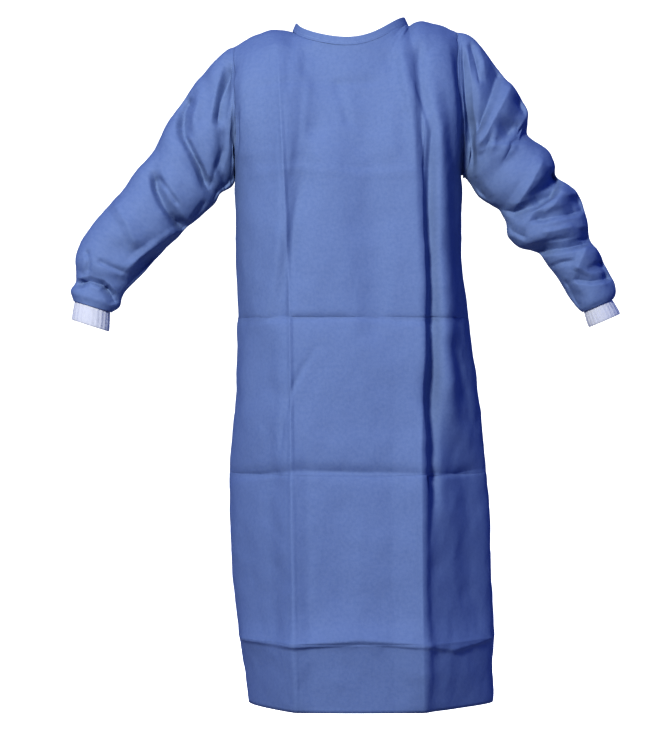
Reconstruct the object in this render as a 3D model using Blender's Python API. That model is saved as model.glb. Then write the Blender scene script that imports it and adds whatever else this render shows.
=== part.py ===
"""A disposable isolation gown of thin nonwoven cloth, as it hangs on a wearer who isn't there.

Metres, +Z up. The front of the gown faces -Y, and the wearer's left is +X. The origin is the middle of the
neck, level with the shoulders, where the wearer carries the gown. Every cloth piece is a wall: a grid of
outer points worked out from the tables below, and the same points moved in by the cloth's thickness.
"""

import math
from collections import namedtuple

import bpy
import numpy as np

# Driving sizes of the garment
LENGTH = 1.183
CLOTH = 0.0015
SEAM_GAP = 0.0002
ARMPIT_DROP = 0.268
ARMHOLE_FRONT = 0.062
ARMHOLE_BACK = 0.056
FRONT_CROWN = 0.007
CREASE_TURN = math.radians(24)
BACK_FULLNESS = 2.3

# Places round half of the body, from 0 at the centre to 1 at the side seam
NECK_AT = 0.36
PRESS_AT = 0.42
UNDER_FLAP_EDGE = -0.18
OVER_FLAP_EDGE = 0.27
FLAP_LIFT = 0.0052
FLAP_RISES = (-0.43, -0.26)

# The neck opening
NECK_FRONT_DEPTH = 0.084
NECK_FRONT_DROP = 0.045
NECK_DIPS = {"right": 1.4, "left": 2.8}
NECK_BACK_DEPTH = 0.074
NECK_BACK_DROP = 0.028

# How many cells the panels have
YOKE_ROWS = 10
ROW_SPACING = 0.068
FOLD_FLANK = 0.013
FRONT_CENTRE_COLUMNS = 8
SIDE_PLACES = (NECK_AT, 0.39, PRESS_AT, 0.455, 0.50, 0.57, 0.66, 0.77, 0.885, 1.0)
RINGS_PER_SECTION = 2

# Half widths and depths of the body at each distance below the origin.
# right and left are the wearer's, right_press and left_press are where the packing folds run, and
# right_flat and left_flat are how flat the cloth hangs between that fold and the side, from 0 to 1.
Section = namedtuple("Section", "drop right left front back right_press left_press right_flat left_flat")
BODY_SECTIONS = [
    Section(ARMPIT_DROP, 0.200, 0.195, 0.124, 0.112, 0.114, 0.122, 0.00, 0.00),
    Section(0.350, 0.200, 0.195, 0.129, 0.114, 0.110, 0.124, 0.00, 0.00),
    Section(0.430, 0.198, 0.195, 0.133, 0.118, 0.107, 0.125, 0.00, 0.00),
    Section(0.500, 0.195, 0.206, 0.136, 0.123, 0.105, 0.126, 0.00, 0.05),
    Section(0.600, 0.199, 0.220, 0.141, 0.131, 0.103, 0.124, 0.05, 0.20),
    Section(0.720, 0.205, 0.231, 0.146, 0.139, 0.101, 0.122, 0.15, 0.50),
    Section(0.800, 0.213, 0.241, 0.150, 0.144, 0.099, 0.123, 0.40, 0.75),
    Section(0.900, 0.208, 0.245, 0.153, 0.148, 0.098, 0.125, 0.55, 0.85),
    Section(1.010, 0.201, 0.250, 0.156, 0.152, 0.096, 0.127, 0.55, 0.85),
    Section(1.080, 0.193, 0.252, 0.158, 0.154, 0.095, 0.128, 0.55, 0.85),
    Section(LENGTH, 0.178, 0.250, 0.158, 0.156, 0.093, 0.128, 0.50, 0.80),
]

# The shoulder seam, from the neck to the armhole: place round the body, distance out, height
Shoulder = namedtuple("Shoulder", "place out height")
RIGHT_SHOULDER = [
    Shoulder(NECK_AT, 0.100, -0.012),
    Shoulder(PRESS_AT, 0.120, -0.008),
    Shoulder(0.66, 0.158, -0.014),
    Shoulder(1.0, 0.203, -0.037),
]
LEFT_SHOULDER = [
    Shoulder(NECK_AT, 0.102, -0.002),
    Shoulder(PRESS_AT, 0.114, 0.004),
    Shoulder(0.66, 0.146, 0.003),
    Shoulder(1.0, 0.186, -0.011),
]

# Each sleeve section by its upper edge and its underarm edge as seen from the front, with the
# distance of its middle from the plane of the shoulders and half its depth.
Cut = namedtuple("Cut", "upper_x upper_z under_x under_z middle_y half_depth")
RIGHT_SLEEVE = [
    Cut(-0.222, -0.049, -0.208, -0.280, 0.002, 0.063),
    Cut(-0.258, -0.089, -0.213, -0.284, 0.002, 0.064),
    Cut(-0.294, -0.131, -0.219, -0.288, 0.000, 0.064),
    Cut(-0.328, -0.190, -0.228, -0.296, -0.003, 0.062),
    Cut(-0.343, -0.222, -0.238, -0.314, -0.006, 0.060),
    Cut(-0.371, -0.254, -0.264, -0.336, -0.009, 0.061),
    Cut(-0.400, -0.291, -0.286, -0.359, -0.013, 0.060),
    Cut(-0.431, -0.328, -0.314, -0.387, -0.017, 0.057),
    Cut(-0.458, -0.366, -0.343, -0.418, -0.021, 0.053),
    Cut(-0.475, -0.399, -0.370, -0.446, -0.025, 0.048),
    Cut(-0.478, -0.430, -0.391, -0.468, -0.028, 0.042),
    Cut(-0.477, -0.450, -0.398, -0.481, -0.029, 0.037),
    Cut(-0.487, -0.466, -0.402, -0.494, -0.030, 0.040),
    Cut(-0.481, -0.484, -0.415, -0.504, -0.031, 0.034),
]
LEFT_SLEEVE = [
    Cut(0.212, -0.021, 0.200, -0.268, 0.002, 0.064),
    Cut(0.236, -0.048, 0.204, -0.271, 0.002, 0.066),
    Cut(0.268, -0.088, 0.208, -0.275, 0.000, 0.066),
    Cut(0.300, -0.128, 0.213, -0.280, -0.003, 0.064),
    Cut(0.311, -0.172, 0.218, -0.288, -0.006, 0.058),
    Cut(0.313, -0.197, 0.226, -0.300, -0.008, 0.055),
    Cut(0.344, -0.222, 0.244, -0.312, -0.010, 0.061),
    Cut(0.357, -0.249, 0.260, -0.322, -0.012, 0.058),
    Cut(0.363, -0.268, 0.266, -0.333, -0.014, 0.053),
    Cut(0.394, -0.294, 0.273, -0.349, -0.017, 0.060),
    Cut(0.408, -0.326, 0.275, -0.371, -0.020, 0.061),
    Cut(0.413, -0.358, 0.296, -0.389, -0.022, 0.056),
    Cut(0.419, -0.382, 0.324, -0.398, -0.024, 0.047),
    Cut(0.434, -0.401, 0.340, -0.418, -0.026, 0.047),
    Cut(0.446, -0.428, 0.358, -0.440, -0.028, 0.045),
    Cut(0.459, -0.452, 0.375, -0.466, -0.029, 0.042),
    Cut(0.461, -0.470, 0.392, -0.491, -0.030, 0.037),
    Cut(0.457, -0.480, 0.404, -0.503, -0.031, 0.030),
]

# Cuff rings: distance past the sleeve's end, and size against the sleeve's end
CuffRing = namedtuple("CuffRing", "along scale")
CUFF_RINGS = {
    "right": [CuffRing(-0.008, 0.94), CuffRing(0.001, 1.0), CuffRing(0.012, 1.03), CuffRing(0.030, 1.06)],
    "left": [CuffRing(-0.008, 0.94), CuffRing(0.001, 1.0), CuffRing(0.010, 1.06), CuffRing(0.026, 1.12)],
}
CUFF_WALL = 0.0018
CUFF_DIRECTION = {"right": (-0.10, -0.995), "left": (0.40, -0.917)}
CUFF_RIBS = 24
RIB_HEIGHT = 0.0007

# Folds that cross the whole body: distance below the origin, how far they stand out, half width
Press = namedtuple("Press", "drop out half_width")
PACKING_FOLDS = [
    Press(0.513, -0.0035, 0.020),
    Press(0.783, -0.0055, 0.022),
    Press(1.068, 0.0050, 0.026),
]

# Other large folds, as the line that the middle follows seen from the front: x and z of each of its three
# points, half width, depth into the cloth (a ridge is negative), and the side of the garment it is on.
Fold = namedtuple("Fold", "x1 z1 x2 z2 x3 z3 half_width depth side")
BODY_FOLDS = [
    Fold(0.118, -0.060, 0.140, -0.450, 0.146, -0.800, 0.017, 0.011, "front"),
    Fold(0.146, -0.800, 0.146, -1.000, 0.144, -1.215, 0.019, 0.003, "front"),
    Fold(0.132, -0.640, 0.162, -0.690, 0.196, -0.790, 0.026, 0.008, "front"),
    Fold(0.214, -0.560, 0.224, -0.760, 0.226, -1.000, 0.024, 0.003, "front"),
    Fold(-0.060, -0.180, -0.084, -0.330, -0.122, -0.500, 0.022, 0.007, "front"),
    Fold(0.010, -0.220, 0.026, -0.330, 0.034, -0.480, 0.034, 0.005, "front"),
    Fold(-0.126, -0.040, -0.118, -0.200, -0.116, -0.420, 0.020, -0.004, "front"),
    Fold(-0.150, -0.560, -0.140, -0.800, -0.128, -1.060, 0.026, 0.005, "front"),
    Fold(0.118, -0.080, 0.100, -0.350, 0.094, -0.800, 0.028, 0.007, "back"),
    Fold(-0.120, -0.090, -0.128, -0.400, -0.134, -0.900, 0.030, 0.008, "back"),
    Fold(0.176, -0.500, 0.190, -0.800, 0.196, -1.215, 0.030, 0.009, "back"),
    Fold(-0.060, -0.560, -0.050, -0.850, -0.052, -1.215, 0.034, 0.006, "back"),
]
RIGHT_SLEEVE_FOLDS = [
    Fold(-0.283, -0.128, -0.294, -0.190, -0.246, -0.286, 0.015, 0.008, "front"),
    Fold(-0.340, -0.262, -0.326, -0.312, -0.290, -0.356, 0.016, 0.008, "front"),
    Fold(-0.214, -0.080, -0.216, -0.170, -0.222, -0.262, 0.013, 0.008, "front"),
    Fold(-0.330, -0.420, -0.372, -0.400, -0.410, -0.395, 0.018, 0.005, "front"),
    Fold(-0.470, -0.428, -0.440, -0.446, -0.398, -0.452, 0.009, 0.005, "front"),
    Fold(-0.290, -0.140, -0.276, -0.220, -0.240, -0.290, 0.017, 0.008, "back"),
    Fold(-0.350, -0.240, -0.330, -0.310, -0.282, -0.350, 0.018, 0.007, "back"),
    Fold(-0.430, -0.330, -0.404, -0.376, -0.356, -0.410, 0.017, 0.006, "back"),
    Fold(-0.470, -0.420, -0.440, -0.440, -0.400, -0.450, 0.010, 0.005, "back"),
]
LEFT_SLEEVE_FOLDS = [
    Fold(0.202, -0.050, 0.208, -0.130, 0.204, -0.230, 0.013, 0.008, "front"),
    Fold(0.300, -0.150, 0.282, -0.190, 0.226, -0.262, 0.018, -0.006, "front"),
    Fold(0.312, -0.186, 0.276, -0.206, 0.240, -0.214, 0.014, 0.009, "front"),
    Fold(0.362, -0.262, 0.330, -0.300, 0.288, -0.336, 0.013, 0.008, "front"),
    Fold(0.400, -0.318, 0.350, -0.330, 0.300, -0.360, 0.011, 0.006, "front"),
    Fold(0.418, -0.376, 0.370, -0.380, 0.320, -0.396, 0.012, 0.007, "front"),
    Fold(0.440, -0.410, 0.404, -0.440, 0.398, -0.478, 0.012, 0.005, "front"),
    Fold(0.306, -0.140, 0.280, -0.190, 0.236, -0.240, 0.014, 0.009, "back"),
    Fold(0.360, -0.262, 0.322, -0.290, 0.274, -0.320, 0.013, 0.008, "back"),
    Fold(0.412, -0.326, 0.366, -0.344, 0.300, -0.372, 0.012, 0.007, "back"),
    Fold(0.424, -0.386, 0.380, -0.400, 0.336, -0.408, 0.011, 0.006, "back"),
]

# Neck binding: its width, how far it stands proud of the cloth, and the height that it leans in towards
BINDING_WIDTH = 0.014
BINDING_PROUD = 0.0004
BINDING_AIM = 0.220

# Closures on the back, at places round the back half of the body
STRAP_CLOTH = 0.0012
STRAP_GAP = 0.0014
WAIST_DROP = 0.440
TIE_WIDTH = 0.024
KNOT_PLACE = 0.54
KNOT_HALF_WIDTH = 0.016
KNOT_HALF_DEPTH = 0.0065
KNOT_LIFT = 0.0080
KNOT_ROUNDS = 5
KNOT_SIDES = 10
TAIL_WIDTH = 0.020
Tail = namedtuple("Tail", "length start spread top rest")
TAILS = {
    "tie_tail_right": Tail(0.300, -0.006, -0.022, 0.0060, 0.0040),
    "tie_tail_left": Tail(0.265, 0.006, 0.026, 0.0084, 0.0064),
}
TAB_OVER = (0.09, 0.18, OVER_FLAP_EDGE)
TAB_UNDER = (NECK_AT, 0.39, PRESS_AT, 0.455)
TAB_DROP = 0.056
TAB_WIDTH = 0.020
TAB_GAP = 0.0022

MATERIALS = {
    "gown_cloth": ((0.105, 0.190, 0.520, 1.0), 0.62),
    "knit": ((0.82, 0.84, 0.88, 1.0), 0.90),
    "touch_tape": ((0.70, 0.74, 0.82, 1.0), 0.75),
}


# Plain helpers
def smooth_step(t):
    t = np.clip(t, 0.0, 1.0)
    return t * t * (3 - 2 * t)


def unit(v):
    return v / np.maximum(np.linalg.norm(v, axis=-1, keepdims=True), 1e-12)


def through(xs, ys, at):
    """A smooth curve through rising xs, with slopes taken from the neighbours on each side."""
    xs, ys = np.asarray(xs, float), np.asarray(ys, float)
    slopes = np.gradient(ys, xs, axis=0)
    i = int(np.clip(np.searchsorted(xs, at) - 1, 0, len(xs) - 2))
    width = xs[i + 1] - xs[i]
    t = min(max((at - xs[i]) / width, 0.0), 1.0)
    start, end = (1 + 2 * t) * (1 - t) ** 2, t * t * (3 - 2 * t)
    leave, arrive = t * (1 - t) ** 2, t * t * (t - 1)
    return start * ys[i] + end * ys[i + 1] + width * (leave * slopes[i] + arrive * slopes[i + 1])


def body_section(drop):
    rows = np.array(BODY_SECTIONS)
    return Section(*through(rows[:, 0], rows, drop))


# The body below the armpits
def front_point(place, drop):
    """Outer cloth on the front: place is -1 at the wearer's right side seam and 1 at the left one."""
    s = body_section(drop)
    side = -1 if place < 0 else 1
    half, press, flat = s.left, s.left_press, s.left_flat
    if side < 0:
        half, press, flat = s.right, s.right_press, s.right_flat
    if abs(place) <= PRESS_AT:
        share = abs(place) / PRESS_AT
        return np.array([side * press * share, -s.front - FRONT_CROWN * (1 - share**2), -drop])
    share = (abs(place) - PRESS_AT) / (1 - PRESS_AT)
    turn = CREASE_TURN + (math.pi / 2 - CREASE_TURN) * share
    out = (math.sin(turn) - math.sin(CREASE_TURN)) / (1 - math.sin(CREASE_TURN))
    depth = math.cos(turn) / math.cos(CREASE_TURN)
    flat *= 1 - share**3
    out += (share - out) * flat
    depth += (1 - share - depth) * flat
    return np.array([side * (press + (half - press) * out), -s.front * depth, -drop])


def back_point(place, drop):
    """Outer cloth on the back: place is -1 at the wearer's right side seam and 1 at the left one."""
    s = body_section(drop)
    half = s.right if place < 0 else s.left
    turn = math.pi / 2 * abs(place)
    x = half * math.sin(turn) ** (2 / BACK_FULLNESS)
    y = s.back * max(math.cos(turn), 0.0) ** (2 / BACK_FULLNESS)
    return np.array([math.copysign(x, place), y, -drop])


# The yoke, from the armpits up to the neck and the shoulder seams
def top_point(place, depth, drop):
    """The top edge: the neckline in the middle and a shoulder seam at each side."""
    rows = RIGHT_SHOULDER if place < 0 else LEFT_SHOULDER
    side = -1 if place < 0 else 1
    if abs(place) >= NECK_AT:
        out, height = through([r.place for r in rows], [(r.out, r.height) for r in rows], abs(place))
        return np.array([side * out, 0.0, height])
    turn = math.pi / 2 * abs(place) / NECK_AT
    dip = NECK_DIPS["right" if place < 0 else "left"]
    height = rows[0].height - (rows[0].height + drop) * math.cos(turn) ** dip
    return np.array([side * rows[0].out * math.sin(turn), depth * math.cos(turn), height])


def yoke_point(place, down, front):
    """Outer cloth between the top edge, where down is 0, and the armpits, where down is 1."""
    neck = (-NECK_FRONT_DEPTH, NECK_FRONT_DROP) if front else (NECK_BACK_DEPTH, NECK_BACK_DROP)
    top = top_point(place, *neck)
    base = front_point(place, ARMPIT_DROP) if front else back_point(place, ARMPIT_DROP)
    shoulder = smooth_step((abs(place) - 0.25 * NECK_AT) / (0.75 * NECK_AT))
    edge = smooth_step((abs(place) - PRESS_AT) / (1 - PRESS_AT))
    falls = down ** (1 + 0.6 * shoulder * (1 - 0.75 * edge))
    comes = 1 - (1 - down) ** (1.25 + 0.95 * shoulder)
    point = np.array([
        top[0] + (base[0] - top[0]) * down,
        top[1] + (base[1] - top[1]) * comes,
        top[2] + (base[2] - top[2]) * falls,
    ])
    reach = -ARMHOLE_FRONT if front else ARMHOLE_BACK
    point[1] += reach * edge * math.sin(math.pi * down) ** 0.85
    return point


def levels():
    """Distances below the origin of the rows from the hem to the armpits, close together at the folds."""
    marks = [ARMPIT_DROP]
    for fold in PACKING_FOLDS:
        marks += [fold.drop - FOLD_FLANK, fold.drop, fold.drop + FOLD_FLANK]
    marks.append(LENGTH)
    rows = [ARMPIT_DROP]
    for low, high in zip(marks, marks[1:]):
        cells = max(1, round((high - low) / ROW_SPACING))
        rows += [low + (high - low) * (k + 1) / cells for k in range(cells)]
    return rows[::-1]


def panel_points(places, front):
    """Rows from the hem up to the top edge, as an array of points."""
    below = front_point if front else back_point
    rows = [[below(p, drop) for p in places] for drop in levels()[:-1]]
    rows += [[yoke_point(p, 1 - k / YOKE_ROWS, front) for p in places] for k in range(YOKE_ROWS + 1)]
    return np.array(rows)


# Folds pushed into a grid of outer points
def distance_to_line(points, fold):
    """Distance in the front view from each point to the fold's bent line."""
    knots = np.array([(fold.x1, fold.z1), (fold.x2, fold.z2), (fold.x3, fold.z3)])
    flat = points[..., [0, 2]]
    best = np.full(points.shape[:-1], np.inf)
    for start, end in zip(knots, knots[1:]):
        along = end - start
        t = np.clip(((flat - start) @ along) / (along @ along), 0, 1)
        best = np.minimum(best, np.linalg.norm(flat - start - t[..., None] * along, axis=-1))
    return best


def fold_shape(ratio):
    """A trough at 0 with low lips beside it, gone at about 2.4."""
    return (1 - 0.8 * ratio**2) * np.exp(-(ratio**2) / 1.1)


def folded(points, normals, folds, keep):
    """The points moved along their normals by the folds. keep is 0 where a seam must stay in place."""
    moved = points.copy()
    for fold in folds:
        facing = -normals[..., 1] if fold.side == "front" else normals[..., 1]
        amount = fold.depth * fold_shape(distance_to_line(points, fold) / fold.half_width)
        amount = amount * smooth_step((facing + 0.1) / 0.5) * keep
        moved -= normals * amount[..., None]
    return moved


def pressed(points, normals, keep):
    moved = points.copy()
    for press in PACKING_FOLDS:
        away = np.abs(-points[..., 2] - press.drop) / press.half_width
        amount = press.out * np.clip(1 - away, 0, 1) * keep
        moved += normals * amount[..., None]
    return moved


def normals_of(points, closed=False):
    """Unit normals of a grid. They point outwards where its rows go up and its columns run from -X to +X."""
    if closed:
        wrapped = np.concatenate([points[:, -1:], points, points[:, :1]], axis=1)
        across = np.gradient(wrapped, axis=1)[:, 1:-1]
    else:
        across = np.gradient(points, axis=1)
    return unit(np.cross(across, np.gradient(points, axis=0)))


# From grids of points to closed walls
def wall_object(name, outer, inner, material, closed=False):
    """A closed solid between two grids of points that lie a cloth's thickness apart."""
    rows, columns = outer.shape[:2]
    vertices = [tuple(p) for p in outer.reshape(-1, 3)] + [tuple(p) for p in inner.reshape(-1, 3)]
    count = rows * columns
    faces = []
    wide = columns if closed else columns - 1
    for i in range(rows - 1):
        for j in range(wide):
            a, b = i * columns + j, i * columns + (j + 1) % columns
            c, d = b + columns, a + columns
            faces += [(a, b, c, d), (count + d, count + c, count + b, count + a)]
    rims = [[(0 * columns + j, (j + 1) % columns) for j in range(wide)]]
    top = (rows - 1) * columns
    rims.append([(top + (j + 1) % columns, top + j) for j in range(wide)])
    if not closed:
        rims.append([((i + 1) * columns, i * columns) for i in range(rows - 1)])
        last = columns - 1
        rims.append([(i * columns + last, (i + 1) * columns + last) for i in range(rows - 1)])
    for rim in rims:
        faces += [(b, a, count + a, count + b) for a, b in rim]
    return mesh_object(name, vertices, faces, material)


def mesh_object(name, vertices, faces, material):
    mesh = bpy.data.meshes.new(name)
    mesh.from_pydata(vertices, [], faces)
    if signed_volume(mesh) < 0:
        mesh.flip_normals()
    mesh.shade_smooth()
    mesh.set_sharp_from_angle(angle=math.radians(40))
    mesh.materials.append(material)
    made = bpy.data.objects.new(name, mesh)
    bpy.context.scene.collection.objects.link(made)
    return made


def signed_volume(mesh):
    mesh.calc_loop_triangles()
    corners = np.array([[mesh.vertices[i].co for i in t.vertices] for t in mesh.loop_triangles])
    return float(np.linalg.det(corners).sum()) / 6


def make_material(name, color, roughness):
    material = bpy.data.materials.new(name)
    material.use_nodes = True
    shader = material.node_tree.nodes["Principled BSDF"]
    shader.inputs["Base Color"].default_value = color
    shader.inputs["Roughness"].default_value = roughness
    shader.inputs["Metallic"].default_value = 0.0
    return material


# The body panels
def side_places(sign):
    places = [sign * p for p in SIDE_PLACES]
    return places[::-1] if sign < 0 else places


def seam_keep(points, places, sides):
    """0 on the side seams, armholes and top edge, and 1 a few centimetres inside them."""
    keep = np.ones(points.shape[:2])
    places = np.abs(np.array(places))
    if sides:
        keep *= smooth_step((1 - places) / 0.14)[None, :]
    top = np.linalg.norm(points - points[-1:], axis=-1)
    return keep * smooth_step(top / 0.05)


def body_panels():
    """Outer points and shared normals of the front and the two backs."""
    centre = [NECK_AT * (2 * k / FRONT_CENTRE_COLUMNS - 1) for k in range(1, FRONT_CENTRE_COLUMNS)]
    places = {
        "front": side_places(-1) + centre + side_places(1),
        "back_right": side_places(-1) + [p for p in centre if p < OVER_FLAP_EDGE - 0.02] + [OVER_FLAP_EDGE],
        "back_left": [UNDER_FLAP_EDGE] + [p for p in centre if p > UNDER_FLAP_EDGE + 0.02] + side_places(1),
    }
    points, normals = {}, {}
    for name, across in places.items():
        front = name == "front"
        flip = 1 if front else -1
        base = panel_points(across, front)
        facing = normals_of(base) * flip
        keep = seam_keep(base, across, True)
        shaped = folded(base, facing, BODY_FOLDS, keep)
        shaped = pressed(shaped, facing, keep)
        if name == "back_right":
            start, end = FLAP_RISES
            lift = FLAP_LIFT * smooth_step((np.array(across) - start) / (end - start))
            shaped = shaped + facing * lift[None, :, None]
        points[name], normals[name] = shaped, normals_of(shaped) * flip
    share_normals(normals)
    return places, points, normals


def share_normals(normals):
    """Pieces that meet at a seam get one normal there, so that their walls stand edge to edge."""
    sides = len(SIDE_PLACES)
    for back, edge, cut in (("back_right", 0, slice(0, sides)), ("back_left", -1, slice(-sides, None))):
        meet = unit(normals["front"][:, edge] + normals[back][:, edge])
        normals["front"][:, edge] = normals[back][:, edge] = meet
        meet = unit(normals["front"][-1, cut] + normals[back][-1, cut])
        normals["front"][-1, cut] = normals[back][-1, cut] = meet


def pulled_in(points, seams):
    """The grid with its sewn edges drawn back a hair, so that neighbours don't touch."""
    moved = points.copy()
    if "start" in seams:
        moved[:, 0] += SEAM_GAP * unit(points[:, 1] - points[:, 0])
    if "end" in seams:
        moved[:, -1] += SEAM_GAP * unit(points[:, -2] - points[:, -1])
    for part in seams.get("top", []):
        moved[-1, part] += SEAM_GAP * unit(points[-2, part] - points[-1, part])
    return moved


# Sleeves and cuffs
def armhole_loop(points, normals, edge, back):
    """Points and normals round an armhole, from the shoulder down the front and up the back."""
    down = slice(-1, -YOKE_ROWS - 2, -1)
    front_edge, back_edge = points["front"][down, edge], points[back][down, edge]
    front_normal, back_normal = normals["front"][down, edge], normals[back][down, edge]
    loop = np.concatenate([front_edge, back_edge[::-1][1:-1]])
    return loop, np.concatenate([front_normal, back_normal[::-1][1:-1]])


def sleeve_ring(cut, count):
    upper, under = np.array([cut[0], 0, cut[1]]), np.array([cut[2], 0, cut[3]])
    middle, half = (upper + under) / 2, (upper - under) / 2
    middle[1] = cut[4]
    turns = 2 * math.pi * np.arange(count) / count
    depth = np.array([0.0, -cut[5], 0.0])
    return middle + np.cos(turns)[:, None] * half + np.sin(turns)[:, None] * depth


def sleeve_points(loop, cuts, folds):
    """Rings from the armhole to the cuff. The loop's own shape fades out over the first two sections."""
    count = len(loop)
    shoulder, armpit = loop[0], loop[count // 2]
    first = Cut(shoulder[0], shoulder[2], armpit[0], armpit[2], 0.0, ARMHOLE_FRONT)
    rows = np.array([first, *cuts])
    steps = np.arange(len(rows))
    shape_of_loop = loop - sleeve_ring(first, count)
    rings = []
    for k in range(RINGS_PER_SECTION * (len(rows) - 1) + 1):
        at = k / RINGS_PER_SECTION
        fade = max(0.0, 1 - at / 2) ** 2
        rings.append(sleeve_ring(through(steps, rows, at), count) + fade * shape_of_loop)
    rings = np.array(rings)
    outward = outward_normals(rings)
    order = np.arange(len(rings))
    keep = smooth_step(order / 2.5) * smooth_step((len(rings) - 1 - order) / 2)
    return folded(rings, outward, folds, keep[:, None] * np.ones(rings.shape[:2]))


def outward_normals(rings):
    normals = normals_of(rings, closed=True)
    centre = rings.mean(axis=1, keepdims=True)
    return normals if np.sum(normals * (rings - centre)) > 0 else -normals


def cuff_rings(end, direction, rows, columns):
    """Smooth rings that start inside the sleeve's end, each with as many points as columns."""
    centre = end.mean(axis=0)
    about = end - centre
    turns = np.arange(columns) * len(end) / columns
    low = np.floor(turns).astype(int)
    share = (turns - low)[:, None]
    round_end = about[low % len(end)] * (1 - share) + about[(low + 1) % len(end)] * share
    return np.array([centre + direction * row.along + round_end * row.scale for row in rows])


def build_sleeve_and_cuff(side, loop, loop_normals, cuts, folds, materials):
    rings = sleeve_points(loop, cuts, folds)
    normals = outward_normals(rings)
    normals[0] = unit(loop_normals + normals[0])
    straight = np.array([CUFF_DIRECTION[side][0], 0.0, CUFF_DIRECTION[side][1]])
    normals[-1] = unit(normals[-1] - straight * (normals[-1] @ straight)[:, None])
    outer = rings.copy()
    outer[0] += SEAM_GAP * unit(rings[1] - rings[0])
    wall_object(f"sleeve_{side}", outer, outer - normals * CLOTH, materials["gown_cloth"], closed=True)
    inside = rings[-1] - normals[-1] * (CLOTH + 2 * SEAM_GAP + RIB_HEIGHT)
    base = cuff_rings(inside, straight, CUFF_RINGS[side], 2 * CUFF_RIBS)
    out = outward_normals(base)
    ribs = RIB_HEIGHT * (np.arange(2 * CUFF_RIBS) % 2)[None, :, None]
    wall_object(f"cuff_{side}", base + out * ribs, base - out * CUFF_WALL, materials["knit"], closed=True)


# The neck binding
def build_binding(points, normals, places, materials):
    """A band along the neckline from one back edge round the front to the other. It leans in to the neck."""
    edge, outward = [], []
    for name, step in (("back_right", -1), ("front", 1), ("back_left", -1)):
        inside = np.where(np.abs(places[name]) <= NECK_AT + 1e-6)[0][::step]
        inside = inside[1:-1] if name == "front" else inside
        edge += [points[name][-1, j] for j in inside]
        outward += [normals[name][-1, j] for j in inside]
    edge, outward = np.array(edge), np.array(outward)
    rise = unit(np.array([0.0, 0.0, BINDING_AIM]) - edge)
    thick = unit(np.cross(np.gradient(edge, axis=0), rise))
    thick *= np.sign(np.sum(thick * outward, axis=1, keepdims=True))
    base = edge + rise * SEAM_GAP * 1.5
    over, under = thick * BINDING_PROUD, thick * (CLOTH + BINDING_PROUD)
    tip = rise * BINDING_WIDTH
    rings = np.stack([base + over, base + tip + over, base + tip - under, base - under], axis=1)
    swept("neck_binding", rings, [(0, 1, 2, 3)], materials["gown_cloth"])


def swept(name, rings, caps, material):
    """A closed solid through a row of rings. caps are the faces of a ring that close each end."""
    count = rings.shape[1]
    vertices = [tuple(v) for v in rings.reshape(-1, 3)]
    faces = []
    for i in range(len(rings) - 1):
        for j in range(count):
            a, b = i * count + j, i * count + (j + 1) % count
            faces.append((a, b, b + count, a + count))
    last = (len(rings) - 1) * count
    faces += [tuple(cap)[::-1] for cap in caps]
    faces += [tuple(last + k for k in cap) for cap in caps]
    return mesh_object(name, vertices, faces, material)


# Closures on the back
def on_panel(panel, place, drop):
    """The outer point of a panel and its normal, at a place round the body and a drop below the origin."""
    across, points, normals = panel
    column = float(np.interp(place, across, np.arange(len(across))))
    low = min(int(column), len(across) - 2)
    share = column - low
    line = points[:, low] * (1 - share) + points[:, low + 1] * share
    facing = normals[:, low] * (1 - share) + normals[:, low + 1] * share
    row = float(np.interp(drop, -line[::-1, 2], np.arange(len(line))[::-1]))
    under = min(int(row), len(line) - 2)
    part = row - under
    point = line[under] * (1 - part) + line[under + 1] * part
    return point, unit(facing[under] * (1 - part) + facing[under + 1] * part)


def lifted(panel, stops):
    """Points and normals over a panel for stops of (place, drop, lift)."""
    found = [on_panel(panel, place, drop) for place, drop, _ in stops]
    return [(point + normal * stop[2], normal) for (point, normal), stop in zip(found, stops)]


def strap(name, path, width, material):
    """A flat strip along a path of points and normals."""
    at, out = (np.array(column) for column in zip(*path))
    along = unit(np.gradient(at, axis=0))
    out = unit(out - along * np.sum(out * along, axis=1, keepdims=True))
    side = unit(np.cross(out, along))
    half, thick = side * width / 2, out * STRAP_CLOTH
    rings = np.stack([at - half, at - half + thick, at + half + thick, at + half], axis=1)
    return swept(name, rings, [(0, 1, 2, 3)], material)


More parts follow.
